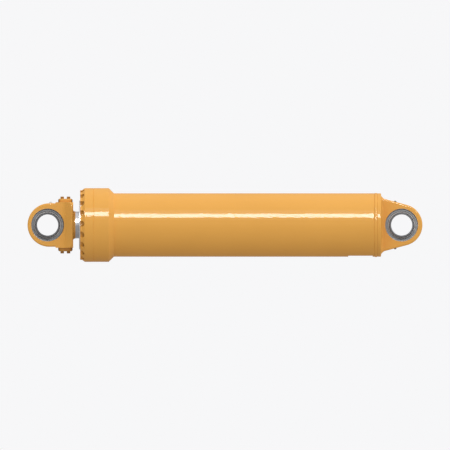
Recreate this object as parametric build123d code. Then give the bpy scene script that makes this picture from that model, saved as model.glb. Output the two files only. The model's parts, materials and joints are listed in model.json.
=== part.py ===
from build123d import *
import os
from math import cos, radians, sin, sqrt, tan

# A double-acting hydraulic cylinder, fully retracted, in millimetres. X runs along the cylinder from
# the rod eye to the cap eye, Y runs along both pins and Z is up. The origin is the centre of the cap
# eye's pin bore, so the rod end lies at negative X.

# Driving dimensions
CLOSED_LENGTH = 1675.0  # from pin centre to pin centre
STROKE = 950.0
BORE_R = 125.0
TUBE_R = 150.0
ROD_R = 63.5
FIT = 0.05  # radial clearance of pieces that sit in each other
SEAL_GAP = 0.1  # radial clearance of a seal lip on the surface that it wipes
SCREW_GAP = 0.5  # radial clearance of a screw in the plate that it holds
OVERCUT = 1.0  # how far a cut or a joined piece reaches past where it is needed
THREAD_BEVEL = 1.5

# Spherical bearing in each eye
PIN_R = 50.0
BALL_R = 65.0
BALL_GAP = 0.3
INNER_RING_R = 57.0
INNER_RING_HALF = 50.0
OUTER_RING_R = 75.0
OUTER_RING_HALF = 27.5
SNAP_RING_THICK = 4.0
SNAP_RING_DEPTH = 2.5
SNAP_RING_IN_R = 66.0
SNAP_RING_OPENING = 7.0
BEARING_SEAL_R = 63.5
BEARING_SEAL_WIDE = 5.0
OIL_GROOVE_WIDE = 8.0
OIL_GROOVE_DEEP = 2.0
OIL_HOLE_R = 3.0
EYE_HALF = 38.0
EYE_BEVEL = 2.4
EYE_ROUND = 8.0  # along the outline of each eye
EYE_SPOT_DEEP = 6.0  # room round the bore where the rod eye's side starts to slope
INNER_RING_BEVEL = 1.0

# Rod eye
ROD_EYE_X = -CLOSED_LENGTH
ROD_EYE_R = 103.0
ROD_EYE_SHIFT = 8.0  # the eye's outline is centred this far behind the bore
BLOCK_START_X = -1638.0
BLOCK_END_X = -1554.0
BLOCK_TOP = 108.0
BLOCK_HALF_Y = 75.0
BLOCK_CORNER_R = 22.0
BLOCK_SLOPE_X = (-1598.0, -1561.0)
BLOCK_SLOPE_R = 30.0  # where the eye's flat side runs into the slope
BLOCK_END_BEVEL = 5.0
STEP_R = 3.0
COLLAR_END_X = -1543.5
COLLAR_R = 71.0
COLLAR_END_R = 64.0
COLLAR_CURVE = 3.0
ROD_THREAD_R = 36.0
ROD_THREAD_END_X = -1591.0

# Lock plates on the rod eye
PLATE_X = -1591.0
PLATE_LENGTH = 68.0
PLATE_WIDTH = 40.0
PLATE_THICK = 16.5
PLATE_BEVEL = 5.0
PLATE_SCREW_PITCH = 30.0
PLATE_SCREW_R = 5.0
PLATE_SCREW_HEAD_R = 8.2
PLATE_SCREW_HEAD_TALL = 10.0
PLATE_SCREW_HEAD_BEVEL = 1.0
PLATE_SCREW_SOCKET_R = 4.6
PLATE_SCREW_LENGTH = 45.0
LOCK_PIN_X = -1589.0
LOCK_PIN_R = 6.0
LOCK_PIN_BOTTOM = 28.0

# Barrel flange and gland
GLAND_FRONT_X = -1521.0
GLAND_NECK_X = -1512.0
GLAND_NECK_R = 165.0
GLAND_STEP_X = -1499.0
FLANGE_R = 174.5
JOINT_X = -1457.5
FLANGE_BACK_X = -1385.7
FLANGE_TAPER = FLANGE_R - TUBE_R
TUBE_START_X = FLANGE_BACK_X + FLANGE_TAPER
JOINT_BEVEL = 1.2
PILOT_END_X = -1385.0
PILOT_BEVEL = 3.0
NOSE_R = 100.0
BOLT_COUNT = 20
BOLT_CIRCLE_R = 156.0
BOLT_START_DEG = 2.0
BOLT_R = 8.0
BOLT_LENGTH = 70.0
BOLT_HEAD_R = 12.0
BOLT_HEAD_TALL = 16.0
BOLT_HEAD_BEVEL = 1.2
BOLT_SOCKET_R = 8.1
BOLT_POCKET_R = 16.5  # wide enough to break through the gland's neck as a scallop
BOLT_POCKET_DEEP = 28.0
BOLT_CLEARANCE_R = 8.8
BOLT_HOLE_DEEP = 38.0
THROAT_R = ROD_R + 0.5

# Seal retainer plate
RETAINER_THICK = 5.0
RETAINER_R = 115.5
RETAINER_SCREWS = 8
RETAINER_CIRCLE_R = 95.0
RETAINER_SCREW_R = 4.0
RETAINER_SCREW_HEAD_R = 8.0
RETAINER_SCREW_LENGTH = 20.0
RETAINER_SCREW_SOCKET_R = 3.0
RETAINER_BEVEL = 1.0

# Grooves in the gland: each starts at the first X and ends at the second, at the given radius
WIPER_GROOVE = (GLAND_FRONT_X, -1509.0, 74.0)
ROD_SEAL_GROOVE = (-1494.0, -1480.0, 74.0)
BUFFER_GROOVE = (-1468.0, -1460.0, 72.0)
ROD_GUIDE_GROOVES = ((-1444.0, -1419.0), (-1384.0, -1359.0), (-1315.0, -1290.0))
ROD_GUIDE_R = 66.5
GLAND_O_RING_GROOVE = (-1434.0, -1425.5, 120.0)
WIPER_LIP_LONG = 4.0
WIPER_LIP_TALL = 3.0
ROD_SEAL_LIP_TALL = 2.0
BACKUP_RING_WIDE = 2.5
GUIDE_SPLIT = 3.0
GUIDE_SPLIT_DEG = 30.0

# Piston, retracted against the end cap's nose
STOP_GAP = 1.0
NOSE_END_X = -216.0
PISTON_CAP_X = NOSE_END_X - STOP_GAP
PISTON_LENGTH = 110.0
PISTON_ROD_X = PISTON_CAP_X - PISTON_LENGTH
PISTON_R = 124.5
PISTON_BEVEL = 3.0
PISTON_SPIGOT_R = 45.0
PISTON_SOCKET_DEEP = 15.0
NUT_POCKET_DEEP = 24.0
NUT_POCKET_R = 68.0
NUT_R = 62.0
NUT_LENGTH = 48.0
NUT_SLOT_WIDE = 12.0
NUT_SLOT_DEEP = 6.0
NUT_SLOTS = 4
NUT_BEVEL = 2.0
SPIGOT_SHORT = 2.0
SPIGOT_BEVEL = 2.0
LOCK_SCREW_R = 5.0
LOCK_SCREW_FROM_END = 20.0
LOCK_SCREW_SOCKET_R = 2.9
LOCK_SCREW_SOCKET_DEEP = 5.0
LOCK_SCREW_SUNK = 1.0
PISTON_SEAL_WIDE = 16.0
PISTON_SEAL_FLOOR_R = 112.5
PISTON_SEAL_IN_R = 119.0
ENERGISER_WIDE = 12.0
ENERGISER_ROUND = 2.5
PISTON_GUIDE_WIDE = 25.0
PISTON_GUIDE_R = 121.0
PISTON_GUIDE_FROM_FACE = 9.0
PISTON_O_RING_FROM_SHOULDER = 22.0
PISTON_O_RING_R = 1.9
PISTON_O_RING_GROOVE_R = 49.0
PISTON_O_RING_GROOVE_WIDE = 6.0
GLAND_END_X = PISTON_ROD_X - STROKE - STOP_GAP * 2

# End cap, its weld and its eye
WELD_ROOT_R = 131.0
WELD_ROOT_X = (-123.0, -119.0)
WELD_TOP_X = (-130.0, -114.0)
WELD_CROWN = 1.8
CAP_FACE_X = -97.5
CAP_RIM_BEVEL = 2.5
CAP_PILOT_END_X = -165.0
STOP_NOSE_R = 86.0
STOP_NOSE_HOLE_R = 70.0
STOP_NOSE_FLOOR_X = -188.0
CAP_EYE_R = 98.4
LUG_SLOPE_DEG = 15.0
LUG_FLARE = 13.0  # how far the lug's edges widen where they meet the cap's face
LUG_FLARE_R = 16.0
LUG_ROOT_DEEP = 12.0  # how far the lug runs into the cap
LUG_FILLET_R = 14.0

# Grease fittings
FITTING_HEX_R = 6.5
FITTING_HEX_TALL = 3.6
FITTING_TIP_R = 3.6
FITTING_TIP_TALL = 2.8
FITTING_THREAD_R = 4.0
FITTING_THREAD_LONG = 9.0
SPOT_FACE_R = 8.0
ROD_FITTING_X = -1660.0
CAP_FITTING_X = -31.0
CAP_SPOT_FACE_Z = 108.6

# Oil ports: a flat milled on the tube with a round port and four tapped holes
PORT_FLAT_LENGTH = 116.0
PORT_FLAT_AT = 145.5
PORT_R = 19.0
PORT_PITCH_LONG = 79.4
PORT_PITCH_WIDE = 36.5
PORT_SCREW_R = 8.0
PORT_SCREW_DEEP = 19.0
CAP_PORT_X = -195.0
ROD_PORT_X = -1300.0
CAP_PORT_TURN = 180.0  # degrees about +X from the top: the underside
ROD_PORT_TURN = -90.0  # the far side, +Y


# Shapes that are used again and again

def turned(*points):
    """A solid turned about the cylinder's axis from (x, radius) points."""
    outline = make_face(Polyline(*points, close=True))
    return revolve(Plane.XZ * outline, Axis.X)


def ring(start_x, end_x, inner_r, outer_r):
    return turned((start_x, inner_r), (start_x, outer_r), (end_x, outer_r), (end_x, inner_r))


def round_bar(start_x, end_x, radius, y=0, z=0):
    bar = Cylinder(radius, end_x - start_x, rotation=(0, 90, 0))
    return Pos((start_x + end_x) / 2, y, z) * bar


def upright_bar(x, y, bottom, top, radius):
    return Pos(x, y, (bottom + top) / 2) * Cylinder(radius, top - bottom)


def cross_bar(half_length, radius):
    """A round bar along Y through the origin."""
    return Cylinder(radius, 2 * half_length, rotation=(90, 0, 0))


def hexagon_bar(start_x, end_x, corner_r):
    outline = Plane.YZ.offset(start_x) * RegularPolygon(corner_r, 6)
    return extrude(outline, end_x - start_x)


def around(count, radius, start_deg=0.0):
    """The (y, z) places of a bolt circle, counted from -Y towards +Z."""
    angles = [radians(start_deg + 360 / count * turn) for turn in range(count)]
    return [(-radius * cos(angle), radius * sin(angle)) for angle in angles]


def split_ring(start_x, end_x, inner_r, outer_r):
    """A guide strip bent into a ring, with a slanted gap on top."""
    middle = (start_x + end_x) / 2
    length = 2 * (end_x - start_x)
    tall = 4 * (outer_r - inner_r)
    gap = Pos(middle, 0, outer_r) * Rot(0, 0, GUIDE_SPLIT_DEG) * Box(length, GUIDE_SPLIT, tall)
    return ring(start_x, end_x, inner_r, outer_r) - gap


def o_ring(x, centre_r, section_r):
    return Pos(x, 0, 0) * Rot(0, 90, 0) * Torus(centre_r, section_r)


# Spherical bearing, about a pin along Y at the origin

def bearing_inner_ring():
    """The ball with its two short necks, turned about the pin's axis from (radius, y) points."""
    neck_y = sqrt(BALL_R**2 - INNER_RING_R**2)
    bevel_r = PIN_R + INNER_RING_BEVEL
    bevel_y = INNER_RING_HALF - INNER_RING_BEVEL
    neck_and_bore = Polyline(
        (INNER_RING_R, -neck_y),
        (INNER_RING_R, -INNER_RING_HALF),
        (bevel_r, -INNER_RING_HALF),
        (PIN_R, -bevel_y),
        (PIN_R, bevel_y),
        (bevel_r, INNER_RING_HALF),
        (INNER_RING_R, INNER_RING_HALF),
        (INNER_RING_R, neck_y),
    )
    ball = ThreePointArc((INNER_RING_R, neck_y), (BALL_R, 0), (INNER_RING_R, -neck_y))
    return revolve(make_face([neck_and_bore, ball]), Axis.Y)


def bearing_outer_ring():
    body = cross_bar(OUTER_RING_HALF, OUTER_RING_R) - Sphere(BALL_R + BALL_GAP)
    groove = cross_bar(OIL_GROOVE_WIDE / 2, OUTER_RING_R)
    groove -= cross_bar(OIL_GROOVE_WIDE / 2, OUTER_RING_R - OIL_GROOVE_DEEP)
    body -= groove + upright_bar(0, 0, -OUTER_RING_R, OUTER_RING_R, OIL_HOLE_R)
    for side in (-1, 1):
        seat = cross_bar(BEARING_SEAL_WIDE / 2, BEARING_SEAL_R)
        body -= Pos(0, side * (OUTER_RING_HALF - BEARING_SEAL_WIDE / 2), 0) * seat
    return body


def bearing_seals():
    half = BEARING_SEAL_WIDE / 2 - FIT
    blank = cross_bar(half, BEARING_SEAL_R - FIT)
    at = OUTER_RING_HALF - BEARING_SEAL_WIDE / 2
    ball = Sphere(BALL_R + BALL_GAP + SEAL_GAP)
    return [Pos(0, side * at, 0) * blank - ball for side in (-1, 1)]


def snap_rings():
    """Two spring rings, each with its opening at the bottom."""
    half = SNAP_RING_THICK / 2 - FIT
    outer_r = OUTER_RING_R + SNAP_RING_DEPTH - FIT
    hoop = cross_bar(half, outer_r) - cross_bar(half, SNAP_RING_IN_R)
    hoop -= Pos(0, 0, -outer_r) * Box(SNAP_RING_OPENING, SNAP_RING_THICK, outer_r)
    at = OUTER_RING_HALF + SNAP_RING_THICK / 2
    return [Pos(0, side * at, 0) * hoop for side in (-1, 1)]


def eye_edges(body):
    """The outline of the two flat faces at the eye's sides."""
    faces = [f for f in body.faces().filter_by(Axis.Y) if abs(abs(f.center().Y) - EYE_HALF) < FIT]
    return [edge for face in faces for edge in face.outer_wire().edges()]


def eye_bore():
    """What is cut from an eye for its bearing: the seat, and on each side a groove, a bevel and a
    spot face."""
    cut = cross_bar(EYE_HALF, OUTER_RING_R + FIT)
    for side in (-1, 1):
        groove = cross_bar(SNAP_RING_THICK / 2, OUTER_RING_R + SNAP_RING_DEPTH)
        cut += Pos(0, side * (OUTER_RING_HALF + SNAP_RING_THICK / 2), 0) * groove
        bevel = Cone(OUTER_RING_R, OUTER_RING_R + 2 * EYE_BEVEL, 2 * EYE_BEVEL)
        cut += Pos(0, side * EYE_HALF, 0) * Rot(-90 * side, 0, 0) * bevel
        spot = cross_bar(EYE_SPOT_DEEP / 2, OUTER_RING_R + EYE_BEVEL)
        cut += Pos(0, side * (EYE_HALF + EYE_SPOT_DEEP / 2), 0) * spot
    return cut


# Grease fittings

def grease_fitting(x, seat_z):
    """A low fitting, upright on its seat."""
    body = upright_bar(x, 0, seat_z - FITTING_THREAD_LONG, seat_z, FITTING_THREAD_R - FIT)
    body += Pos(x, 0, seat_z) * extrude(RegularPolygon(FITTING_HEX_R, 6), FITTING_HEX_TALL)
    tip_z = seat_z + FITTING_HEX_TALL
    body += upright_bar(x, 0, tip_z, tip_z + FITTING_TIP_TALL, FITTING_TIP_R)
    return body


def grease_hole(x, seat_z, bore_x):
    """The fitting's spot face, thread and passage down to the eye's bore."""
    entry_z = sqrt(OUTER_RING_R**2 - (x - bore_x) ** 2) - OVERCUT
    cut = upright_bar(x, 0, seat_z, seat_z + 2 * SPOT_FACE_R, SPOT_FACE_R)
    cut += upright_bar(x, 0, seat_z - FITTING_THREAD_LONG - OVERCUT, seat_z, FITTING_THREAD_R)
    cut += upright_bar(x, 0, entry_z, seat_z, OIL_HOLE_R)
    return cut


# Rod eye and its lock plates

def rod_eye_side():
    """The eye and its block seen along the pin."""
    centre_x = ROD_EYE_X + ROD_EYE_SHIFT
    eye = Pos(centre_x, 0) * Circle(ROD_EYE_R)
    middle_x = (centre_x + BLOCK_END_X) / 2
    bridge = Pos(middle_x, 0) * Rectangle(BLOCK_END_X - centre_x, 2 * ROD_EYE_R)
    block_x = (BLOCK_START_X + BLOCK_END_X) / 2
    block = Pos(block_x, 0) * Rectangle(BLOCK_END_X - BLOCK_START_X, 2 * BLOCK_TOP)
    outline = eye + bridge + block
    steps = [v for v in outline.vertices() if v.X < BLOCK_START_X + FIT and abs(v.Y) > BLOCK_TOP - FIT]
    return fillet(steps, STEP_R)


def rod_eye_plan():
    """The same seen from above: thin at the bearing, sloping out to the block's full width."""
    left_x = ROD_EYE_X + ROD_EYE_SHIFT - ROD_EYE_R
    far_side = [
        (left_x, EYE_HALF),
        (BLOCK_SLOPE_X[0], EYE_HALF),
        (BLOCK_SLOPE_X[1], BLOCK_HALF_Y),
        (BLOCK_END_X - BLOCK_END_BEVEL, BLOCK_HALF_Y),
        (BLOCK_END_X, BLOCK_HALF_Y - BLOCK_END_BEVEL),
    ]
    near_side = [(x, -y) for x, y in reversed(far_side)]
    outline = make_face(Polyline(*far_side, *near_side, close=True))
    bends = [v for v in outline.vertices() if abs(v.X - BLOCK_SLOPE_X[0]) < FIT]
    return fillet(bends, BLOCK_SLOPE_R)


def rod_eye_collar():
    start_x = BLOCK_END_X - OVERCUT
    bend = (BLOCK_END_X + COLLAR_CURVE, COLLAR_END_R)
    flare = [
        Line((start_x, 0), (start_x, COLLAR_R)),
        Line((start_x, COLLAR_R), (BLOCK_END_X, COLLAR_R)),
        Bezier((BLOCK_END_X, COLLAR_R), bend, (COLLAR_END_X, COLLAR_END_R)),
        Line((COLLAR_END_X, COLLAR_END_R), (COLLAR_END_X, 0)),
        Line((COLLAR_END_X, 0), (start_x, 0)),
    ]
    return revolve(Plane.XZ * make_face(flare), Axis.X)


def plate_screw_places():
    return [PLATE_X + side * PLATE_SCREW_PITCH / 2 for side in (-1, 1)]


def rod_eye():
    side = extrude(Plane.XZ * rod_eye_side(), BLOCK_HALF_Y, both=True)
    plan = extrude(rod_eye_plan(), BLOCK_TOP, both=True)
    end = Plane.YZ.offset(BLOCK_END_X) * RectangleRounded(
        2 * BLOCK_HALF_Y, 2 * BLOCK_TOP, BLOCK_CORNER_R
    )
    body = side & plan & extrude(end, BLOCK_END_X - ROD_EYE_X + ROD_EYE_R, dir=(-1, 0, 0))
    round_part = [edge for edge in eye_edges(body) if edge.center().X < BLOCK_START_X]
    body = fillet(round_part, EYE_ROUND) + rod_eye_collar()
    body -= Pos(ROD_EYE_X, 0, 0) * eye_bore()
    body -= round_bar(ROD_THREAD_END_X - FIT, COLLAR_END_X, ROD_THREAD_R + FIT)
    body -= grease_hole(ROD_FITTING_X, ROD_EYE_R, ROD_EYE_X)
    for tilt in (0, 180):
        body -= Rot(tilt, 0, 0) * upright_bar(LOCK_PIN_X, 0, LOCK_PIN_BOTTOM, BLOCK_TOP, LOCK_PIN_R + FIT)
        for x in plate_screw_places():
            bottom = BLOCK_TOP + PLATE_THICK - PLATE_SCREW_LENGTH - OVERCUT
            body -= Rot(tilt, 0, 0) * upright_bar(x, 0, bottom, BLOCK_TOP, PLATE_SCREW_R + FIT)
    return body


def lock_plate():
    outline = SlotOverall(PLATE_LENGTH, PLATE_WIDTH)
    plate = Pos(PLATE_X, 0, BLOCK_TOP) * extrude(outline, PLATE_THICK)
    plate = chamfer(plate.faces().sort_by(Axis.Z)[-1].edges(), PLATE_BEVEL)
    for x in plate_screw_places():
        plate -= upright_bar(x, 0, BLOCK_TOP, BLOCK_TOP + PLATE_THICK, PLATE_SCREW_R + SCREW_GAP)
    return plate


def lock_plate_screws():
    top = BLOCK_TOP + PLATE_THICK
    screws = []
    for x in plate_screw_places():
        head = upright_bar(x, 0, top, top + PLATE_SCREW_HEAD_TALL, PLATE_SCREW_HEAD_R)
        head = chamfer(head.edges().sort_by(Axis.Z)[-1], PLATE_SCREW_HEAD_BEVEL)
        socket = Pos(x, 0, top + PLATE_SCREW_HEAD_TALL / 2) * extrude(
            RegularPolygon(PLATE_SCREW_SOCKET_R, 6), PLATE_SCREW_HEAD_TALL
        )
        shank = upright_bar(x, 0, top - PLATE_SCREW_LENGTH, top, PLATE_SCREW_R)
        screws.append(head - socket + shank)
    return screws + [Rot(180, 0, 0) * screw for screw in screws]


def lock_pins():
    pin = upright_bar(LOCK_PIN_X, 0, LOCK_PIN_BOTTOM + OVERCUT, BLOCK_TOP - FIT, LOCK_PIN_R)
    return [pin, Rot(180, 0, 0) * pin]


# Piston rod

def piston_rod():
    spigot_start = PISTON_ROD_X + PISTON_SOCKET_DEEP
    spigot_end = PISTON_CAP_X - NUT_POCKET_DEEP + NUT_LENGTH - SPIGOT_SHORT
    body = turned(
        (ROD_THREAD_END_X, 0),
        (ROD_THREAD_END_X, ROD_THREAD_R - THREAD_BEVEL),
        (ROD_THREAD_END_X + THREAD_BEVEL, ROD_THREAD_R),
        (COLLAR_END_X, ROD_THREAD_R),
        (COLLAR_END_X, ROD_R),
        (spigot_start, ROD_R),
        (spigot_start, PISTON_SPIGOT_R),
        (spigot_end - SPIGOT_BEVEL, PISTON_SPIGOT_R),
        (spigot_end, PISTON_SPIGOT_R - SPIGOT_BEVEL),
        (spigot_end, 0),
    )
    slot = Box(2 * (LOCK_PIN_R + FIT), 2 * (LOCK_PIN_R + FIT), 2 * ROD_THREAD_R)
    return body - Pos(LOCK_PIN_X, 0, 0) * slot


# Piston, its rings and its nut

def piston_seal_span():
    middle = (PISTON_ROD_X + PISTON_CAP_X) / 2
    return middle - PISTON_SEAL_WIDE / 2, middle + PISTON_SEAL_WIDE / 2


def piston_guide_spans():
    first = PISTON_ROD_X + PISTON_GUIDE_FROM_FACE
    last = PISTON_CAP_X - PISTON_GUIDE_FROM_FACE
    return (first, first + PISTON_GUIDE_WIDE), (last - PISTON_GUIDE_WIDE, last)


def piston_o_ring_x():
    return PISTON_ROD_X + PISTON_SOCKET_DEEP + PISTON_O_RING_FROM_SHOULDER


def piston():
    body = ring(PISTON_ROD_X, PISTON_CAP_X, PISTON_SPIGOT_R + FIT, PISTON_R)
    rims = body.edges().filter_by(GeomType.CIRCLE).group_by(SortBy.RADIUS)[-1]
    body = chamfer(rims, PISTON_BEVEL)
    body -= round_bar(PISTON_ROD_X, PISTON_ROD_X + PISTON_SOCKET_DEEP, ROD_R + FIT)
    body -= round_bar(PISTON_CAP_X - NUT_POCKET_DEEP, PISTON_CAP_X, NUT_POCKET_R)
    body -= ring(*piston_seal_span(), PISTON_SEAL_FLOOR_R, BORE_R)
    for span in piston_guide_spans():
        body -= ring(*span, PISTON_GUIDE_R, BORE_R)
    half = PISTON_O_RING_GROOVE_WIDE / 2
    x = piston_o_ring_x()
    return body - ring(x - half, x + half, PISTON_SPIGOT_R - OVERCUT, PISTON_O_RING_GROOVE_R)


def piston_seal():
    start, end = piston_seal_span()
    return ring(start + FIT, end - FIT, PISTON_SEAL_IN_R, BORE_R - SEAL_GAP)


def piston_seal_energiser():
    middle = (PISTON_ROD_X + PISTON_CAP_X) / 2
    half = ENERGISER_WIDE / 2
    body = ring(middle - half, middle + half, PISTON_SEAL_FLOOR_R + FIT, PISTON_SEAL_IN_R - FIT)
    return fillet(body.edges().filter_by(GeomType.CIRCLE), ENERGISER_ROUND)


def piston_guide_rings():
    spans = piston_guide_spans()
    return [split_ring(a + FIT, b - FIT, PISTON_GUIDE_R + FIT, BORE_R - FIT) for a, b in spans]


def piston_o_ring():
    middle_r = (PISTON_SPIGOT_R + PISTON_O_RING_GROOVE_R) / 2
    return o_ring(piston_o_ring_x(), middle_r, PISTON_O_RING_R)


def piston_nut_span():
    start = PISTON_CAP_X - NUT_POCKET_DEEP
    return start, start + NUT_LENGTH


def piston_nut():
    start, end = piston_nut_span()
    body = ring(start, end, PISTON_SPIGOT_R + FIT, NUT_R)
    body = chamfer(body.edges().filter_by(GeomType.CIRCLE).group_by(SortBy.RADIUS)[-1], NUT_BEVEL)
    slot = Pos(end, 0, NUT_R) * Box(2 * NUT_LENGTH / 3, NUT_SLOT_WIDE, 2 * NUT_SLOT_DEEP)
    for turn in range(NUT_SLOTS):
        body -= Rot(360 / NUT_SLOTS * turn, 0, 0) * slot
    hole = upright_bar(end - LOCK_SCREW_FROM_END, 0, 0, NUT_R, LOCK_SCREW_R + FIT)
    return body - Rot(180 / NUT_SLOTS, 0, 0) * hole


def piston_nut_lock_screw():
    x = piston_nut_span()[1] - LOCK_SCREW_FROM_END
    top = NUT_R - LOCK_SCREW_SUNK
    body = upright_bar(x, 0, PISTON_SPIGOT_R + 2 * FIT, top, LOCK_SCREW_R)
    socket = Pos(x, 0, top - LOCK_SCREW_SOCKET_DEEP) * extrude(
        RegularPolygon(LOCK_SCREW_SOCKET_R, 6), LOCK_SCREW_SOCKET_DEEP
    )
    return Rot(180 / NUT_SLOTS, 0, 0) * (body - socket)


# Barrel

def port_cut(x):
    """The flat, port and tapped holes, cut from the top of the tube."""
    flat_top = 2 * TUBE_R - PORT_FLAT_AT
    cut = Pos(x, 0, (PORT_FLAT_AT + flat_top) / 2) * Box(
        PORT_FLAT_LENGTH, 2 * TUBE_R, flat_top - PORT_FLAT_AT
    )
    cut += upright_bar(x, 0, BORE_R - PORT_R, PORT_FLAT_AT, PORT_R)
    for side_x in (-1, 1):
        for side_y in (-1, 1):
            hole_x = x + side_x * PORT_PITCH_LONG / 2
            hole_y = side_y * PORT_PITCH_WIDE / 2
            cut += upright_bar(hole_x, hole_y, PORT_FLAT_AT - PORT_SCREW_DEEP, PORT_FLAT_AT, PORT_SCREW_R)
    return cut


def barrel_tube():
    body = turned(
        (TUBE_START_X, BORE_R),
        (TUBE_START_X, TUBE_R),
        (WELD_TOP_X[0], TUBE_R),
        (WELD_ROOT_X[0], WELD_ROOT_R),
        (WELD_ROOT_X[0], BORE_R),
    )
    body -= Rot(CAP_PORT_TURN, 0, 0) * port_cut(CAP_PORT_X)
    return body - Rot(ROD_PORT_TURN, 0, 0) * port_cut(ROD_PORT_X)


def barrel_flange():
    body = turned(
        (JOINT_X, BORE_R + PILOT_BEVEL / 2),
        (JOINT_X, FLANGE_R - JOINT_BEVEL),
        (JOINT_X + JOINT_BEVEL, FLANGE_R),
        (FLANGE_BACK_X, FLANGE_R),
        (TUBE_START_X, TUBE_R),
        (TUBE_START_X, BORE_R),
        (JOINT_X + 2 * PILOT_BEVEL, BORE_R),
    )
    for y, z in around(BOLT_COUNT, BOLT_CIRCLE_R, BOLT_START_DEG):
        body -= round_bar(JOINT_X, JOINT_X + BOLT_HOLE_DEEP, BOLT_R + FIT, y, z)
    return body


# Gland, its bolts, its seals and the plate that holds the wiper

def gland():
    body = turned(
        (GLAND_FRONT_X, THROAT_R),
        (GLAND_FRONT_X, GLAND_NECK_R - JOINT_BEVEL),
        (GLAND_FRONT_X + JOINT_BEVEL, GLAND_NECK_R),
        (GLAND_NECK_X, GLAND_NECK_R),
        (GLAND_STEP_X, FLANGE_R),
        (JOINT_X - JOINT_BEVEL, FLANGE_R),
        (JOINT_X, FLANGE_R - JOINT_BEVEL),
        (JOINT_X, BORE_R - FIT),
        (PILOT_END_X - PILOT_BEVEL, BORE_R - FIT),
        (PILOT_END_X, BORE_R - PILOT_BEVEL),
        (PILOT_END_X, NOSE_R),
        (GLAND_END_X - PILOT_BEVEL, NOSE_R),
        (GLAND_END_X, NOSE_R - PILOT_BEVEL),
        (GLAND_END_X, THROAT_R),
    )
    for start, end, floor_r in (WIPER_GROOVE, ROD_SEAL_GROOVE, BUFFER_GROOVE):
        body -= ring(start, end, ROD_R, floor_r)
    for start, end in ROD_GUIDE_GROOVES:
        body -= ring(start, end, ROD_R, ROD_GUIDE_R)
    start, end, floor_r = GLAND_O_RING_GROOVE
    body -= ring(start, end, floor_r, BORE_R)
    pocket_floor_x = GLAND_FRONT_X + BOLT_POCKET_DEEP
    for y, z in around(BOLT_COUNT, BOLT_CIRCLE_R, BOLT_START_DEG):
        body -= round_bar(GLAND_FRONT_X, pocket_floor_x, BOLT_POCKET_R, y, z)
        body -= round_bar(pocket_floor_x, JOINT_X, BOLT_CLEARANCE_R, y, z)
    for y, z in around(RETAINER_SCREWS, RETAINER_CIRCLE_R):
        body -= round_bar(GLAND_FRONT_X, GLAND_FRONT_X + RETAINER_SCREW_LENGTH, RETAINER_SCREW_R + FIT, y, z)
    return body


def gland_bolts():
    head_end_x = GLAND_FRONT_X + BOLT_POCKET_DEEP
    head_x = head_end_x - BOLT_HEAD_TALL
    head = round_bar(head_x, head_end_x, BOLT_HEAD_R)
    head = chamfer(head.edges().sort_by(Axis.X)[0], BOLT_HEAD_BEVEL)
    head -= hexagon_bar(head_x, head_x + BOLT_HEAD_TALL / 2, BOLT_SOCKET_R)
    bolt = head + round_bar(head_end_x, head_end_x + BOLT_LENGTH, BOLT_R)
    return [Pos(0, y, z) * bolt for y, z in around(BOLT_COUNT, BOLT_CIRCLE_R, BOLT_START_DEG)]


def seal_retainer():
    front_x = GLAND_FRONT_X - RETAINER_THICK
    body = ring(front_x, GLAND_FRONT_X, THROAT_R, RETAINER_R)
    body = chamfer(body.edges().sort_by(Axis.X)[0:2].filter_by(GeomType.CIRCLE), RETAINER_BEVEL)
    for y, z in around(RETAINER_SCREWS, RETAINER_CIRCLE_R):
        body -= round_bar(front_x, GLAND_FRONT_X, RETAINER_SCREW_R + SCREW_GAP, y, z)
        body -= countersunk_head(FIT, y, z)
    return body


def countersunk_head(extra_r, y, z):
    """The 45 degree head of a retainer screw, flush with the plate's front."""
    front_x = GLAND_FRONT_X - RETAINER_THICK
    tall = RETAINER_SCREW_HEAD_R - RETAINER_SCREW_R
    head = Cone(RETAINER_SCREW_HEAD_R + extra_r, RETAINER_SCREW_R + extra_r, tall)
    return Pos(front_x + tall / 2, y, z) * Rot(0, 90, 0) * head


def retainer_screws():
    front_x = GLAND_FRONT_X - RETAINER_THICK
    end_x = front_x + RETAINER_SCREW_LENGTH
    screw = countersunk_head(0, 0, 0) + round_bar(front_x, end_x, RETAINER_SCREW_R)
    screw -= hexagon_bar(front_x, front_x + RETAINER_THICK / 2, RETAINER_SCREW_SOCKET_R)
    return [Pos(0, y, z) * screw for y, z in around(RETAINER_SCREWS, RETAINER_CIRCLE_R)]


def rod_wiper():
    start, end, floor_r = WIPER_GROOVE
    lip_r = ROD_R + SEAL_GAP
    return turned(
        (start + FIT, floor_r - FIT),
        (start + FIT, lip_r),
        (start + WIPER_LIP_LONG, lip_r),
        (start + 2 * WIPER_LIP_LONG, lip_r + WIPER_LIP_TALL),
        (end - FIT, lip_r + WIPER_LIP_TALL),
        (end - FIT, floor_r - FIT),
    )


def rod_seal():
    """A U-cup whose open side faces the oil."""
    start, end, floor_r = ROD_SEAL_GROOVE
    lip_r = ROD_R + SEAL_GAP
    middle_r = (lip_r + floor_r) / 2
    return turned(
        (start + FIT, lip_r),
        (start + FIT, floor_r - FIT),
        (end - FIT, floor_r - FIT),
        (end - FIT, floor_r - ROD_SEAL_LIP_TALL),
        ((start + end) / 2, middle_r),
        (end - FIT, lip_r + ROD_SEAL_LIP_TALL),
        (end - FIT, lip_r),
    )


def rod_buffer_seal():
    start, end, floor_r = BUFFER_GROOVE
    return ring(start + FIT, end - FIT, ROD_R + SEAL_GAP, floor_r - FIT)


def rod_guide_rings():
    return [split_ring(a + FIT, b - FIT, ROD_R + FIT, ROD_GUIDE_R - FIT) for a, b in ROD_GUIDE_GROOVES]


def gland_o_ring():
    start, end, floor_r = GLAND_O_RING_GROOVE
    section_r = (BORE_R - floor_r) / 2 - FIT
    return o_ring(end - section_r - FIT, (BORE_R + floor_r) / 2, section_r)


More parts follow.
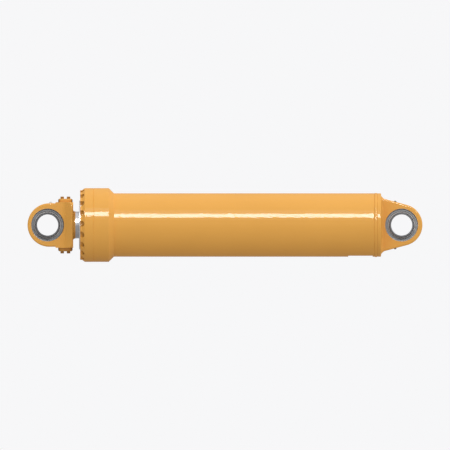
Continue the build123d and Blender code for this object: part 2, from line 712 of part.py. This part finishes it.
def gland_backup_ring():
    start, end, floor_r = GLAND_O_RING_GROOVE
    return ring(start + FIT, start + BACKUP_RING_WIDE, floor_r + FIT, BORE_R - 2 * FIT)


# End cap

def lug_outline():
    """The cap eye, and the two edges that run to it as tangents from their flares at the cap's face."""
    slope = radians(LUG_SLOPE_DEG)
    touch = (CAP_EYE_R * sin(slope), CAP_EYE_R * cos(slope))
    flare_x = CAP_FACE_X + LUG_FLARE
    flare_z = touch[1] + (touch[0] - flare_x) * tan(slope)
    root_z = flare_z + LUG_FLARE
    upper = [touch, (flare_x, flare_z), (CAP_FACE_X, root_z), (CAP_FACE_X - LUG_ROOT_DEEP, root_z)]
    lower = [(x, -z) for x, z in reversed(upper)]
    outline = Circle(CAP_EYE_R) + make_face(Polyline(*upper, *lower, close=True))
    bends = [v for v in outline.vertices() if abs(v.X - flare_x) < FIT]
    return fillet(bends, LUG_FLARE_R)


def lug():
    body = extrude(Plane.XZ * lug_outline(), EYE_HALF, both=True)
    return fillet([edge for edge in eye_edges(body) if edge.center().X > CAP_FACE_X], EYE_ROUND)


def cap_body():
    return turned(
        (CAP_PILOT_END_X, 0),
        (CAP_PILOT_END_X, BORE_R - PILOT_BEVEL),
        (CAP_PILOT_END_X + PILOT_BEVEL, BORE_R - FIT),
        (WELD_ROOT_X[0], BORE_R - FIT),
        (WELD_ROOT_X[0], WELD_ROOT_R),
        (WELD_ROOT_X[1], WELD_ROOT_R),
        (WELD_TOP_X[1], TUBE_R),
        (CAP_FACE_X - CAP_RIM_BEVEL, TUBE_R),
        (CAP_FACE_X, TUBE_R - CAP_RIM_BEVEL),
        (CAP_FACE_X, 0),
    )


def end_cap():
    body = cap_body() + lug()
    upright_edges = body.edges().filter_by(GeomType.LINE).filter_by(Axis.Z)
    roots = [edge for edge in upright_edges if abs(edge.center().X - CAP_FACE_X) < FIT]
    body = fillet(roots, LUG_FILLET_R)
    nose = ring(NOSE_END_X, CAP_PILOT_END_X, STOP_NOSE_HOLE_R, STOP_NOSE_R)
    floor = round_bar(STOP_NOSE_FLOOR_X, CAP_PILOT_END_X, STOP_NOSE_R)
    body += nose + floor
    body -= eye_bore()
    for tilt in (0, 180):
        body -= Rot(tilt, 0, 0) * grease_hole(CAP_FITTING_X, CAP_SPOT_FACE_Z, 0)
    return body


def end_cap_weld():
    middle_x = (WELD_TOP_X[0] + WELD_TOP_X[1]) / 2
    outline = [
        Line((WELD_ROOT_X[0], WELD_ROOT_R), (WELD_TOP_X[0], TUBE_R)),
        ThreePointArc((WELD_TOP_X[0], TUBE_R), (middle_x, TUBE_R + WELD_CROWN), (WELD_TOP_X[1], TUBE_R)),
        Line((WELD_TOP_X[1], TUBE_R), (WELD_ROOT_X[1], WELD_ROOT_R)),
        Line((WELD_ROOT_X[1], WELD_ROOT_R), (WELD_ROOT_X[0], WELD_ROOT_R)),
    ]
    return revolve(Plane.XZ * make_face(outline), Axis.X)


def grease_fittings_of_cap():
    fitting = grease_fitting(CAP_FITTING_X, CAP_SPOT_FACE_Z)
    return [fitting, Rot(180, 0, 0) * fitting]


def bearing_nodes(end, centre_x):
    """The bearing's pieces as nodes of one end, moved to that end's pin."""
    pieces = {
        "bearing_inner_ring": [bearing_inner_ring()],
        "bearing_outer_ring": [bearing_outer_ring()],
        "bearing_seals": bearing_seals(),
        "snap_rings": snap_rings(),
    }
    place = Pos(centre_x, 0, 0)
    return {f"{end}_{name}": [place * solid for solid in solids] for name, solids in pieces.items()}


NODES = {
    "barrel_tube": [barrel_tube()],
    "barrel_flange": [barrel_flange()],
    "end_cap": [end_cap()],
    "end_cap_weld": [end_cap_weld()],
    "cap_grease_fittings": grease_fittings_of_cap(),
    "gland": [gland()],
    "gland_bolts": gland_bolts(),
    "gland_o_ring": [gland_o_ring()],
    "gland_backup_ring": [gland_backup_ring()],
    "seal_retainer": [seal_retainer()],
    "retainer_screws": retainer_screws(),
    "rod_wiper": [rod_wiper()],
    "rod_seal": [rod_seal()],
    "rod_buffer_seal": [rod_buffer_seal()],
    "rod_guide_rings": rod_guide_rings(),
    "piston_rod": [piston_rod()],
    "piston": [piston()],
    "piston_seal": [piston_seal()],
    "piston_seal_energiser": [piston_seal_energiser()],
    "piston_guide_rings": piston_guide_rings(),
    "piston_o_ring": [piston_o_ring()],
    "piston_nut": [piston_nut()],
    "piston_nut_lock_screw": [piston_nut_lock_screw()],
    "rod_eye": [rod_eye()],
    "upper_lock_plate": [lock_plate()],
    "lower_lock_plate": [Rot(180, 0, 0) * lock_plate()],
    "lock_plate_screws": lock_plate_screws(),
    "lock_pins": lock_pins(),
    "rod_grease_fitting": [grease_fitting(ROD_FITTING_X, ROD_EYE_R)],
    **bearing_nodes("rod", ROD_EYE_X),
    **bearing_nodes("cap", 0),
}

os.makedirs("parts", exist_ok=True)
for node, solids in NODES.items():
    shape = solids[0] if len(solids) == 1 else Compound(solids)
    export_step(shape, f"parts/{node}.step")
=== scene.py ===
import bpy
import json
import math
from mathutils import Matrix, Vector


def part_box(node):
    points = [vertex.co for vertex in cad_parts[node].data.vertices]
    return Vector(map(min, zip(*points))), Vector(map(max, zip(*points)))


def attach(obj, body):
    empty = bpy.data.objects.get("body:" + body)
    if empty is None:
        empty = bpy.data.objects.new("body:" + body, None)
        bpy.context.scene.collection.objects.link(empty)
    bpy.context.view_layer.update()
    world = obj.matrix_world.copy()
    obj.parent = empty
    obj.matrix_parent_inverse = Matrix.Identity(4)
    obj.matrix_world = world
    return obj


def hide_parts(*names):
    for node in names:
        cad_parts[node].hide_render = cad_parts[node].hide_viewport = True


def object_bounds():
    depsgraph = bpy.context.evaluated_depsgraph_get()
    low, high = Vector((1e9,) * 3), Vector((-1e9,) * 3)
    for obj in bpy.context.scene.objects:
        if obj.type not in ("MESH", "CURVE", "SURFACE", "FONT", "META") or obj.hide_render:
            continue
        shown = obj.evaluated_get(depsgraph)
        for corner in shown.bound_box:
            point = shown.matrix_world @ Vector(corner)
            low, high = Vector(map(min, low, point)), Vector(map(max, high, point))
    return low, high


# A hydraulic cylinder in orange-yellow machine paint, seen square-on from the side.
# Lengths are in metres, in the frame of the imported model: X along the cylinder, Y along the pins.

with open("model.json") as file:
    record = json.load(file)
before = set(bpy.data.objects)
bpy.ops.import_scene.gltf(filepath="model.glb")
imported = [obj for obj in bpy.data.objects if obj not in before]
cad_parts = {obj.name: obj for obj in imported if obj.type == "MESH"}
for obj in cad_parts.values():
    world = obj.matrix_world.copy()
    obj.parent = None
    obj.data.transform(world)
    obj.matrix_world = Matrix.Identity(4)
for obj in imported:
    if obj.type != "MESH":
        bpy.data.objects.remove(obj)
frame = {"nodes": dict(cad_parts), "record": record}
cad_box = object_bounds()
nodes = frame["nodes"]

MOUNTS = {mount["name"]: Vector(mount["pos_m"]) for mount in frame["record"]["mounts"]}
CAP_EYE = MOUNTS["cap_pin_bore"]
ROD_EYE = MOUNTS["rod_pin_bore"]
MIDDLE = (cad_box[0] + cad_box[1]) / 2

# Where the paint stops
BARREL_BARE_R = 0.128  # a little over the radius of the barrel's bore
BEARING_BEVEL_R = 0.0775
PORT_MASK_R = 0.030
PORT_MASK_FROM = 0.120  # distance from the barrel's axis
BARE_STEEL = (0.42, 0.42, 0.43)

# Painted shade on the lock plates: darker towards their ends, and darker all over the lower plate, which
# lies under the block
PLATE_SHADE = (0.20, 0.10, 0.03)
PLATE_SHADE_WIDTH = 0.008  # how far it reaches in from a plate's ends
PLATE_SHADE_REACH = 0.001  # how far its zone goes past a plate's ends
PLATE_SHADE_AT_ENDS = 0.85
# Painted shade all over both plates, and what is added to it on the lower plate, which lies under the block
PLATE_SHADE_ALL_OVER = 0.12
PLATE_SHADE_BELOW = 0.22  # added to the film on the lower plate

# An edge, as the cosine between the surface and its rounded copy
EDGE_FLAT = 0.995
EDGE_SHARP = 0.88
EDGE_WEAR = 0.65  # how far a rubbed edge goes to the worn colour

RUST = (0.20, 0.13, 0.08)

# The weld bead between the tube and the end cap
BEAD_RIPPLES = 190
BEAD_STEPS = 8
BEAD_ROWS = 15
BEAD_CURVE = 0.8  # how far a ripple bends back at the bead's toes, in ripples
BEAD_CROWN = 0.0018
BEAD_FULLNESS = 0.6  # power that shapes the crown: 0.5 is an ellipse, 1 a parabola
BEAD_SINK = 0.0012  # how far the toes lie below the tube's surface
BEAD_FILL = 0.955  # width at the toes, as a share of the groove's width at the surface
BEAD_RIPPLE = 0.00035
BEAD_FRONT = 0.15  # share of a ripple's length that its steep front takes
BEAD_DEPTH = 0.017
BEAD_ROOT = 0.2  # width at the root, as a share of the width at the toes

# Floor, sky and camera
PAPER = (0.93, 0.93, 0.94)
FLOOR_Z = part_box("gland")[0].z
FLOOR_HALF = 9.0
FLOOR_GLOW = 0.40  # light that the floor gives to the object
FLOOR_LOOK = 0.60  # light that the floor gives to the camera
ROD_END_DIM = 0.35  # the sky's light from this side, as a share of the plain sky, like the next three
FAR_DIM = 0.55
TOP_LIFT = 1.42
BELOW_DIM = 0.8
CAMERA_Y = -6.0
VIEW_WIDTH = 1.1395  # in lengths of the cylinder

# The strip lamps lie along the cylinder, above it on the viewer's side, and show only in reflections
STRIP_X = -0.065
STRIP_Y = -3.2
STRIP_Z = 2.14
STRIP_LENGTH = 3.13
STRIP_DEPTH = 0.95


# Material building blocks

class Nodes:
    """A node tree, with short ways to add to it."""

    def __init__(self, tree):
        self.tree = tree

    def add(self, kind, **settings):
        node = self.tree.nodes.new(kind)
        for key, value in settings.items():
            setattr(node, key, value)
        return node

    def link(self, source, target):
        self.tree.links.new(source, target)

    def fill(self, socket, value):
        """Gives a socket a link if value is another socket, and else a fixed value."""
        if isinstance(value, bpy.types.NodeSocket):
            self.link(value, socket)
        else:
            socket.default_value = value

    def math(self, operation, first, second=0.0, third=0.0):
        node = self.add("ShaderNodeMath", operation=operation)
        for socket, value in zip(node.inputs, (first, second, third)):
            self.fill(socket, value)
        return node.outputs[0]

    def vector_math(self, operation, first, second=None):
        node = self.add("ShaderNodeVectorMath", operation=operation)
        self.link(first, node.inputs[0])
        if second is not None:
            self.fill(node.inputs[1], second)
        return node.outputs

    def spread(self, value, low, high, out_low=0.0, out_high=1.0, **settings):
        """value stretched from low..high to out_low..out_high, and held there."""
        node = self.add("ShaderNodeMapRange", **settings)
        limits = {"From Min": low, "From Max": high, "To Min": out_low, "To Max": out_high}
        for name, number in limits.items():
            node.inputs[name].default_value = number
        self.link(value, node.inputs["Value"])
        return node.outputs["Result"]

    def split(self, vector):
        """The x, y and z of a vector."""
        node = self.add("ShaderNodeSeparateXYZ")
        self.link(vector, node.inputs[0])
        return node.outputs


class Finish(Nodes):
    """One procedural material, placed by the object's own coordinates."""

    def __init__(self, name, roughness, metallic=0.0):
        self.material = bpy.data.materials.new(name)
        self.material.use_nodes = True
        super().__init__(self.material.node_tree)
        self.shader = self.tree.nodes["Principled BSDF"]
        self.put("Roughness", roughness)
        self.put("Metallic", metallic)
        self.place = self.add("ShaderNodeTexCoord").outputs["Object"]

    def put(self, name, value):
        """Sets one of the shader's own sockets."""
        self.fill(self.shader.inputs[name], value)

    def noise(self, scale, detail, place=None, stretch=(1, 1, 1)):
        """Noise from 0 to 1; scale counts features per metre, and stretch squeezes them per axis."""
        mapping = self.add("ShaderNodeMapping")
        mapping.inputs["Scale"].default_value = stretch
        self.link(place or self.place, mapping.inputs["Vector"])
        node = self.add("ShaderNodeTexNoise")
        node.inputs["Scale"].default_value = scale
        node.inputs["Detail"].default_value = detail
        self.link(mapping.outputs[0], node.inputs["Vector"])
        return node.outputs["Fac"]

    def patches(self, scale, detail, low, high):
        """Noise in patches: 0 where it is under low, and 1 where it is over high."""
        return self.spread(self.noise(scale, detail), low, high)

    def mix(self, amount, first, second):
        """A colour between first and second; both may be colours or sockets."""
        node = self.add("ShaderNodeMix", data_type="RGBA")
        self.link(amount, node.inputs["Factor"])
        for socket, value in ((node.inputs[6], first), (node.inputs[7], second)):
            self.fill(socket, (*value, 1.0) if isinstance(value, tuple) else value)
        return node.outputs[2]

    def edges(self, radius):
        """1 along an edge that stands out or turns in, 0 on open surface."""
        bevel = self.add("ShaderNodeBevel", samples=4)
        bevel.inputs["Radius"].default_value = radius
        flat = self.add("ShaderNodeNewGeometry").outputs["Normal"]
        cosine = self.vector_math("DOT_PRODUCT", bevel.outputs[0], flat)["Value"]
        return self.spread(cosine, EDGE_FLAT, EDGE_SHARP)

    def radius_from(self, centre, axis):
        """Distance from a line through centre along the axis."""
        shifted = self.vector_math("SUBTRACT", self.place, centre)[0]
        kept_axes = [0 if letter == axis else 1 for letter in "XYZ"]
        flattened = self.vector_math("MULTIPLY", shifted, kept_axes)[0]
        return self.vector_math("LENGTH", flattened)["Value"]

    def lathe_marks(self, centre, axis, per_metre):
        """Fine turned rings that follow both the radius and the axis."""
        radius = self.radius_from(centre, axis)
        along = self.math("ADD", radius, self.split(self.place)[axis])
        joined = self.add("ShaderNodeCombineXYZ")
        self.link(along, joined.inputs[0])
        return self.noise(per_metre, 2.0, joined.outputs[0])

    def vary_roughness(self, value, base, rise):
        """Roughness goes from base to base + rise as value goes from 0 to 1."""
        self.put("Roughness", self.math("MULTIPLY_ADD", value, rise, base))

    def bump(self, height, depth):
        """Raises the surface by depth metres where height is 1."""
        node = self.add("ShaderNodeBump")
        node.inputs["Distance"].default_value = depth
        self.link(height, node.inputs["Height"])
        self.put("Normal", node.outputs[0])


# Materials

def bare_zones(finish):
    """1 where the paint stops: inside the barrel, round the bearings and round the oil ports."""
    x, y, z = finish.split(finish.place)
    inside = finish.math("LESS_THAN", finish.radius_from(CAP_EYE, "X"), BARREL_BARE_R)
    inside = finish.math("MULTIPLY", inside, finish.math("GREATER_THAN", x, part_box("barrel_flange")[0].x))
    inside = finish.math("MULTIPLY", inside, finish.math("LESS_THAN", x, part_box("barrel_tube")[1].x))
    zones = [inside]
    for eye in (CAP_EYE, ROD_EYE):
        zones.append(finish.math("LESS_THAN", finish.radius_from(eye, "Y"), BEARING_BEVEL_R))
    cap_port = finish.math("LESS_THAN", finish.radius_from(MOUNTS["cap_port_bore"], "Z"), PORT_MASK_R)
    zones.append(finish.math("MULTIPLY", cap_port, finish.math("LESS_THAN", z, -PORT_MASK_FROM)))
    rod_port = finish.math("LESS_THAN", finish.radius_from(MOUNTS["rod_port_bore"], "Y"), PORT_MASK_R)
    zones.append(finish.math("MULTIPLY", rod_port, finish.math("GREATER_THAN", y, PORT_MASK_FROM)))
    total = zones[0]
    for zone in zones[1:]:
        total = finish.math("MAXIMUM", total, zone)
    return total


def plate_shade(finish):
    """Painted shade on the lock plates: dark on their ends, and a thin darkening all over that is stronger
    on the lower one.
    """
    low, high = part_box("upper_lock_plate")
    half = (high.x - low.x) / 2
    x, _, z = finish.split(finish.place)
    across = finish.math("ABSOLUTE", finish.math("SUBTRACT", x, (low.x + high.x) / 2))
    near = finish.math("LESS_THAN", across, half + PLATE_SHADE_REACH)
    outside = finish.math("GREATER_THAN", finish.math("ABSOLUTE", z), low.z)
    ends = finish.spread(across, half - PLATE_SHADE_WIDTH, half - PLATE_SHADE_WIDTH / 2, 0.0, PLATE_SHADE_AT_ENDS)
    shade_all_over = finish.math("MULTIPLY_ADD", finish.math("LESS_THAN", z, 0.0), PLATE_SHADE_BELOW, PLATE_SHADE_ALL_OVER)
    painted_shade = finish.math("MAXIMUM", ends, shade_all_over)
    return finish.math("MULTIPLY", finish.math("MULTIPLY", near, outside), painted_shade)


def paint(name, fresh, aged, worn):
    """Glossy machine enamel: faint orange peel, clouded colour and rubbed edges, with painted shade on the
    lock plates and bare steel where it was masked."""
    finish = Finish(name, roughness=0.5)
    finish.put("Coat Weight", 0.34)
    finish.put("Coat Roughness", 0.05)
    finish.put("Specular IOR Level", 0.0)
    bare = bare_zones(finish)
    cloud = finish.patches(scale=3.5, detail=5.0, low=0.35, high=0.7)
    fine = finish.patches(scale=160.0, detail=3.0, low=0.3, high=0.75)
    base = finish.mix(cloud, fresh, aged)
    edge = finish.edges(radius=0.0022)
    rub = finish.math("MULTIPLY", edge, finish.patches(scale=90.0, detail=4.0, low=0.42, high=0.62))
    painted = finish.mix(finish.math("MULTIPLY", rub, EDGE_WEAR), base, worn)
    # Painted shade: the lock plates made darker at their ends and all over, more on the lower plate
    shaded_colour = finish.mix(plate_shade(finish), painted, PLATE_SHADE)
    finish.put("Base Color", finish.mix(bare, shaded_colour, BARE_STEEL))
    finish.put("Metallic", bare)
    finish.vary_roughness(fine, base=0.40, rise=0.10)
    finish.bump(finish.noise(scale=420.0, detail=2.0), depth=0.000006)
    return finish.material


def chrome(name, dark, bright):
    """Ground hard chrome: bright, with very fine rings and a few faint draw marks."""
    finish = Finish(name, roughness=0.08, metallic=1.0)
    rings = finish.lathe_marks(CAP_EYE, "X", per_metre=5200.0)
    draw = finish.noise(scale=60.0, detail=3.0, stretch=(0.05, 6, 6))
    finish.put("Base Color", finish.mix(finish.spread(rings, 0.2, 0.8), dark, bright))
    finish.vary_roughness(finish.spread(draw, 0.45, 0.8), base=0.20, rise=0.08)
    finish.bump(rings, depth=0.000004)
    return finish.material


def turned_steel(name, dark, bright, roughness, centre, axis, rust=0.0):
    """Machined steel with lathe rings, a little staining and dulled patches."""
    finish = Finish(name, roughness, metallic=1.0)
    rings = finish.lathe_marks(centre, axis, per_metre=2600.0)
    base = finish.mix(finish.spread(rings, 0.25, 0.75), dark, bright)
    stain = finish.patches(scale=38.0, detail=5.0, low=0.5, high=0.8)
    stained = finish.mix(finish.math("MULTIPLY", stain, rust), base, RUST)
    finish.put("Base Color", stained)
    finish.vary_roughness(stain, base=roughness, rise=0.18)
    finish.bump(rings, depth=0.000003)
    return finish.material


def phosphate(name, dark, bright, roughness):
    """Dark phosphated steel: matt, finely grained, with brighter rubbed spots."""
    finish = Finish(name, roughness, metallic=0.6)
    grain = finish.noise(scale=900.0, detail=3.0)
    patch = finish.patches(scale=45.0, detail=4.0, low=0.4, high=0.75)
    base = finish.mix(finish.spread(grain, 0.3, 0.7), dark, bright)
    finish.put("Base Color", finish.mix(finish.math("MULTIPLY", patch, 0.4), base, bright))
    finish.vary_roughness(grain, base=roughness - 0.1, rise=0.2)
    finish.bump(grain, depth=0.000008)
    return finish.material


def soft(name, dark, light, roughness, grain_scale):
    """Moulded rubber or plastic, with a fine grain and a slight bloom."""
    finish = Finish(name, roughness)
    grain = finish.noise(grain_scale, detail=3.0)
    bloom = finish.patches(scale=30.0, detail=4.0, low=0.4, high=0.8)
    finish.put("Base Color", finish.mix(bloom, dark, light))
    finish.vary_roughness(grain, base=roughness - 0.1, rise=0.2)
    finish.put("Sheen Weight", 0.15)
    finish.bump(grain, depth=0.00003)
    return finish.material


def woven(name, dark, light):
    """Guide strip: phenolic cloth whose weave shows as a fine grid."""
    finish = Finish(name, roughness=0.6)
    weave = finish.add("ShaderNodeTexBrick")
    weave.inputs["Scale"].default_value = 900.0
    finish.link(finish.place, weave.inputs["Vector"])
    grain = finish.patches(scale=500.0, detail=2.0, low=0.3, high=0.7)
    finish.put("Base Color", finish.mix(grain, dark, light))
    finish.bump(weave.outputs["Fac"], depth=0.00004)
    return finish.material


# Each kind of material, then its slots with the values that its function takes after the name
MATERIAL_TABLE = {
    paint: {
        "machine_paint": ((0.84, 0.418, 0.086), (0.81, 0.400, 0.081), (0.86, 0.46, 0.11)),
        # The screws are darker than the machine paint: painted shade for the gland's bolt pockets, which
        # the lock plates' screws share
        "painted_screws": ((0.46, 0.21, 0.035), (0.40, 0.185, 0.030), (0.62, 0.31, 0.06)),
    },
    chrome: {
        "rod_chrome": ((0.44, 0.44, 0.445), (0.49, 0.49, 0.495)),
    },
    turned_steel: {
        "zinc_fitting": ((0.48, 0.48, 0.46), (0.62, 0.62, 0.60), 0.38, ROD_EYE, "Y"),
        "bare_steel": ((0.60, 0.63, 0.66), (0.74, 0.77, 0.80), 0.30, CAP_EYE, "X", 0.1),
        "bare_steel_screws": ((0.40, 0.41, 0.43), (0.55, 0.56, 0.58), 0.35, CAP_EYE, "X", 0.2),
        "machined_steel": ((0.42, 0.42, 0.43), (0.58, 0.58, 0.59), 0.32, CAP_EYE, "X"),
        "ground_bearing_steel": ((0.120, 0.119, 0.116), (0.150, 0.148, 0.145), 0.42, ROD_EYE, "Y", 0.15),
        "spring_steel": ((0.117, 0.119, 0.121), (0.148, 0.150, 0.153), 0.40, ROD_EYE, "Y", 0.1),
    },
    phosphate: {
        "dark_fitting": ((0.045, 0.042, 0.038), (0.09, 0.082, 0.07), 0.5),
        "dark_steel": ((0.05, 0.05, 0.055), (0.11, 0.11, 0.12), 0.45),
        "dark_bearing_steel": ((0.055, 0.055, 0.056), (0.090, 0.090, 0.092), 0.5),
    },
    soft: {
        "seal_rubber": ((0.015, 0.015, 0.016), (0.03, 0.03, 0.03), 0.65, 1500.0),
        "bearing_seal": ((0.46, 0.435, 0.42), (0.51, 0.485, 0.47), 0.6, 1200.0),
        "seal_plastic": ((0.03, 0.07, 0.16), (0.05, 0.10, 0.20), 0.45, 900.0),
        "wiper_plastic": ((0.02, 0.06, 0.10), (0.03, 0.08, 0.13), 0.5, 900.0),
    },
    woven: {
        "guide_ring": ((0.20, 0.12, 0.05), (0.30, 0.19, 0.09)),
    },
}

materials = {
    slot: make(slot, *values)
    for make, slots in MATERIAL_TABLE.items()
    for slot, values in slots.items()
}

for entry in frame["record"]["subparts"]:
    mesh = nodes[entry["node"]].data
    mesh.materials.clear()
    mesh.materials.append(materials[entry["material_slot"]])


# The weld between the tube and the end cap, as a rippled bead

def weld_bead():
    """A closed ring: a crowned outer side with overlapping crescents, and a vee down to its root."""
    low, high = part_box("end_cap_weld")
    crown_r = high.z
    half = (high.x - low.x) / 2 * BEAD_FILL
    centre_x = (high.x + low.x) / 2
    toe_r = crown_r - BEAD_CROWN - BEAD_SINK
    root_r = toe_r - BEAD_DEPTH
    verts, faces = [], []
    count = BEAD_RIPPLES * BEAD_STEPS
    rows = [-1 + 2 * row / (BEAD_ROWS - 1) for row in range(BEAD_ROWS)]
    for turn in range(count):
        angle = 2 * math.pi * turn / count
        section = []
        for across in rows:
            phase = (turn / BEAD_STEPS + BEAD_CURVE * across * across) % 1.0
            slope = phase - 1.0 if phase > BEAD_FRONT else -phase / BEAD_FRONT
            ripple = BEAD_RIPPLE * (1 - across * across) * slope
            radius = toe_r + (BEAD_CROWN + BEAD_SINK) * (1 - across * across) ** BEAD_FULLNESS + ripple
            section.append((across, radius))
        section += [(BEAD_ROOT, root_r), (-BEAD_ROOT, root_r)]
        for across, radius in section:
            verts.append((centre_x + half * across, radius * math.cos(angle), radius * math.sin(angle)))
    ring = len(section)
    for turn in range(count):
        here, there = turn * ring, (turn + 1) % count * ring
        for step in range(ring):
            after = (step + 1) % ring
            faces.append((here + step, here + after, there + after, there + step))
    mesh = bpy.data.meshes.new("weld_bead")
    mesh.from_pydata(verts, [], faces)
    mesh.polygons.foreach_set("use_smooth", [True] * len(faces))
    mesh.materials.append(materials["machine_paint"])
    bead = bpy.data.objects.new("weld_bead", mesh)
    bpy.context.scene.collection.objects.link(bead)
    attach(bead, "barrel")
    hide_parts("end_cap_weld")


weld_bead()


# Floor, light and camera

def floor():
    """A pale floor that the cylinder rests on. It glows, and looks paler than it lights."""
    corners = [(-FLOOR_HALF, -FLOOR_HALF), (FLOOR_HALF, -FLOOR_HALF),
               (FLOOR_HALF, FLOOR_HALF), (-FLOOR_HALF, FLOOR_HALF)]
    mesh = bpy.data.meshes.new("floor")
    mesh.from_pydata([(MIDDLE.x + x, y, FLOOR_Z) for x, y in corners], [], [(0, 1, 2, 3)])
    plane = bpy.data.objects.new("floor", mesh)
    bpy.context.scene.collection.objects.link(plane)
    finish = Finish("floor", roughness=0.75)
    finish.put("Specular IOR Level", 0.0)
    clouds = finish.noise(scale=6.0, detail=4.0)
    finish.put("Base Color", finish.mix(clouds, (0.17, 0.17, 0.172), (0.19, 0.19, 0.192)))
    finish.put("Emission Color", (*PAPER, 1.0))
    seen = finish.add("ShaderNodeLightPath").outputs["Is Camera Ray"]
    finish.put("Emission Strength", finish.spread(seen, 0.0, 1.0, FLOOR_GLOW, FLOOR_LOOK))
    mesh.materials.append(finish.material)


def area_light(name, place, size, power, glossy_only=True):
    """A rectangular lamp that faces the cylinder's axis."""
    light = bpy.data.lights.new(name, "AREA")
    light.shape = "RECTANGLE"
    light.size, light.size_y = size
    light.energy = power
    lamp = bpy.data.objects.new(name, light)
    lamp.location = place
    aim = Vector((place[0], 0, 0))
    lamp.rotation_euler = (aim - Vector(place)).to_track_quat("-Z", "Y").to_euler()
    lamp.visible_camera = False
    lamp.visible_diffuse = not glossy_only
    bpy.context.scene.collection.objects.link(lamp)


def sky():
    """A pale dome: brightest overhead, and dimmer towards the rod's end, the far side and below."""
    world = bpy.data.worlds.new("studio")
    bpy.context.scene.world = world
    world.use_nodes = True
    dome = Nodes(world.node_tree)
    x, y, z = dome.split(dome.add("ShaderNodeTexCoord").outputs["Generated"])
    smooth = {"interpolation_type": "SMOOTHSTEP"}
    rod_end = dome.spread(x, -1.0, 0.1, ROD_END_DIM, 1.0, **smooth)
    far = dome.spread(y, 0.3, 1.0, 1.0, FAR_DIM, **smooth)
    above = dome.spread(z, 0.0, 1.0, 1.0, TOP_LIFT, **smooth)
    below = dome.spread(z, -0.06, -0.02, BELOW_DIM, 1.0, **smooth)
    sides, heights = dome.math("MULTIPLY", rod_end, far), dome.math("MULTIPLY", above, below)
    light = dome.math("MULTIPLY", sides, heights)
    seen = dome.add("ShaderNodeLightPath").outputs["Is Camera Ray"]
    level = dome.add("ShaderNodeMix")
    for source, number in ((seen, 0), (light, 2), (below, 3)):
        dome.link(source, level.inputs[number])
    shade = dome.tree.nodes["Background"]
    shade.inputs["Color"].default_value = (*PAPER, 1.0)
    dome.link(level.outputs[0], shade.inputs["Strength"])


def camera():
    """Square-on from the side: no perspective, the whole cylinder across the picture."""
    lens = bpy.data.cameras.new("camera")
    lens.type = "ORTHO"
    lens.ortho_scale = (cad_box[1].x - cad_box[0].x) * VIEW_WIDTH
    eye = bpy.data.objects.new("camera", lens)
    eye.location = (MIDDLE.x, CAMERA_Y, 0.0)
    eye.rotation_euler = (math.pi / 2, 0, 0)
    bpy.context.scene.collection.objects.link(eye)
    bpy.context.scene.camera = eye
    bpy.context.scene.view_settings.view_transform = "Standard"


# strip draws the bright line along the cylinder and strip_glow its soft upper edge. strip_far is
# dimmer, and draws the line that shows from behind and from the ends.
floor()
sky()
area_light("key", (MIDDLE.x, -3.1, 2.15), (9.0, 2.4), 34.0, glossy_only=False)
area_light("strip", (STRIP_X, STRIP_Y, STRIP_Z), (STRIP_LENGTH, STRIP_DEPTH), 331.0)
area_light("strip_far", (2.8, STRIP_Y, STRIP_Z), (2.2, STRIP_DEPTH), 90.0)
area_light("strip_glow", (STRIP_X, -2.75, 2.95), (STRIP_LENGTH, 1.0), 21.3)
camera()
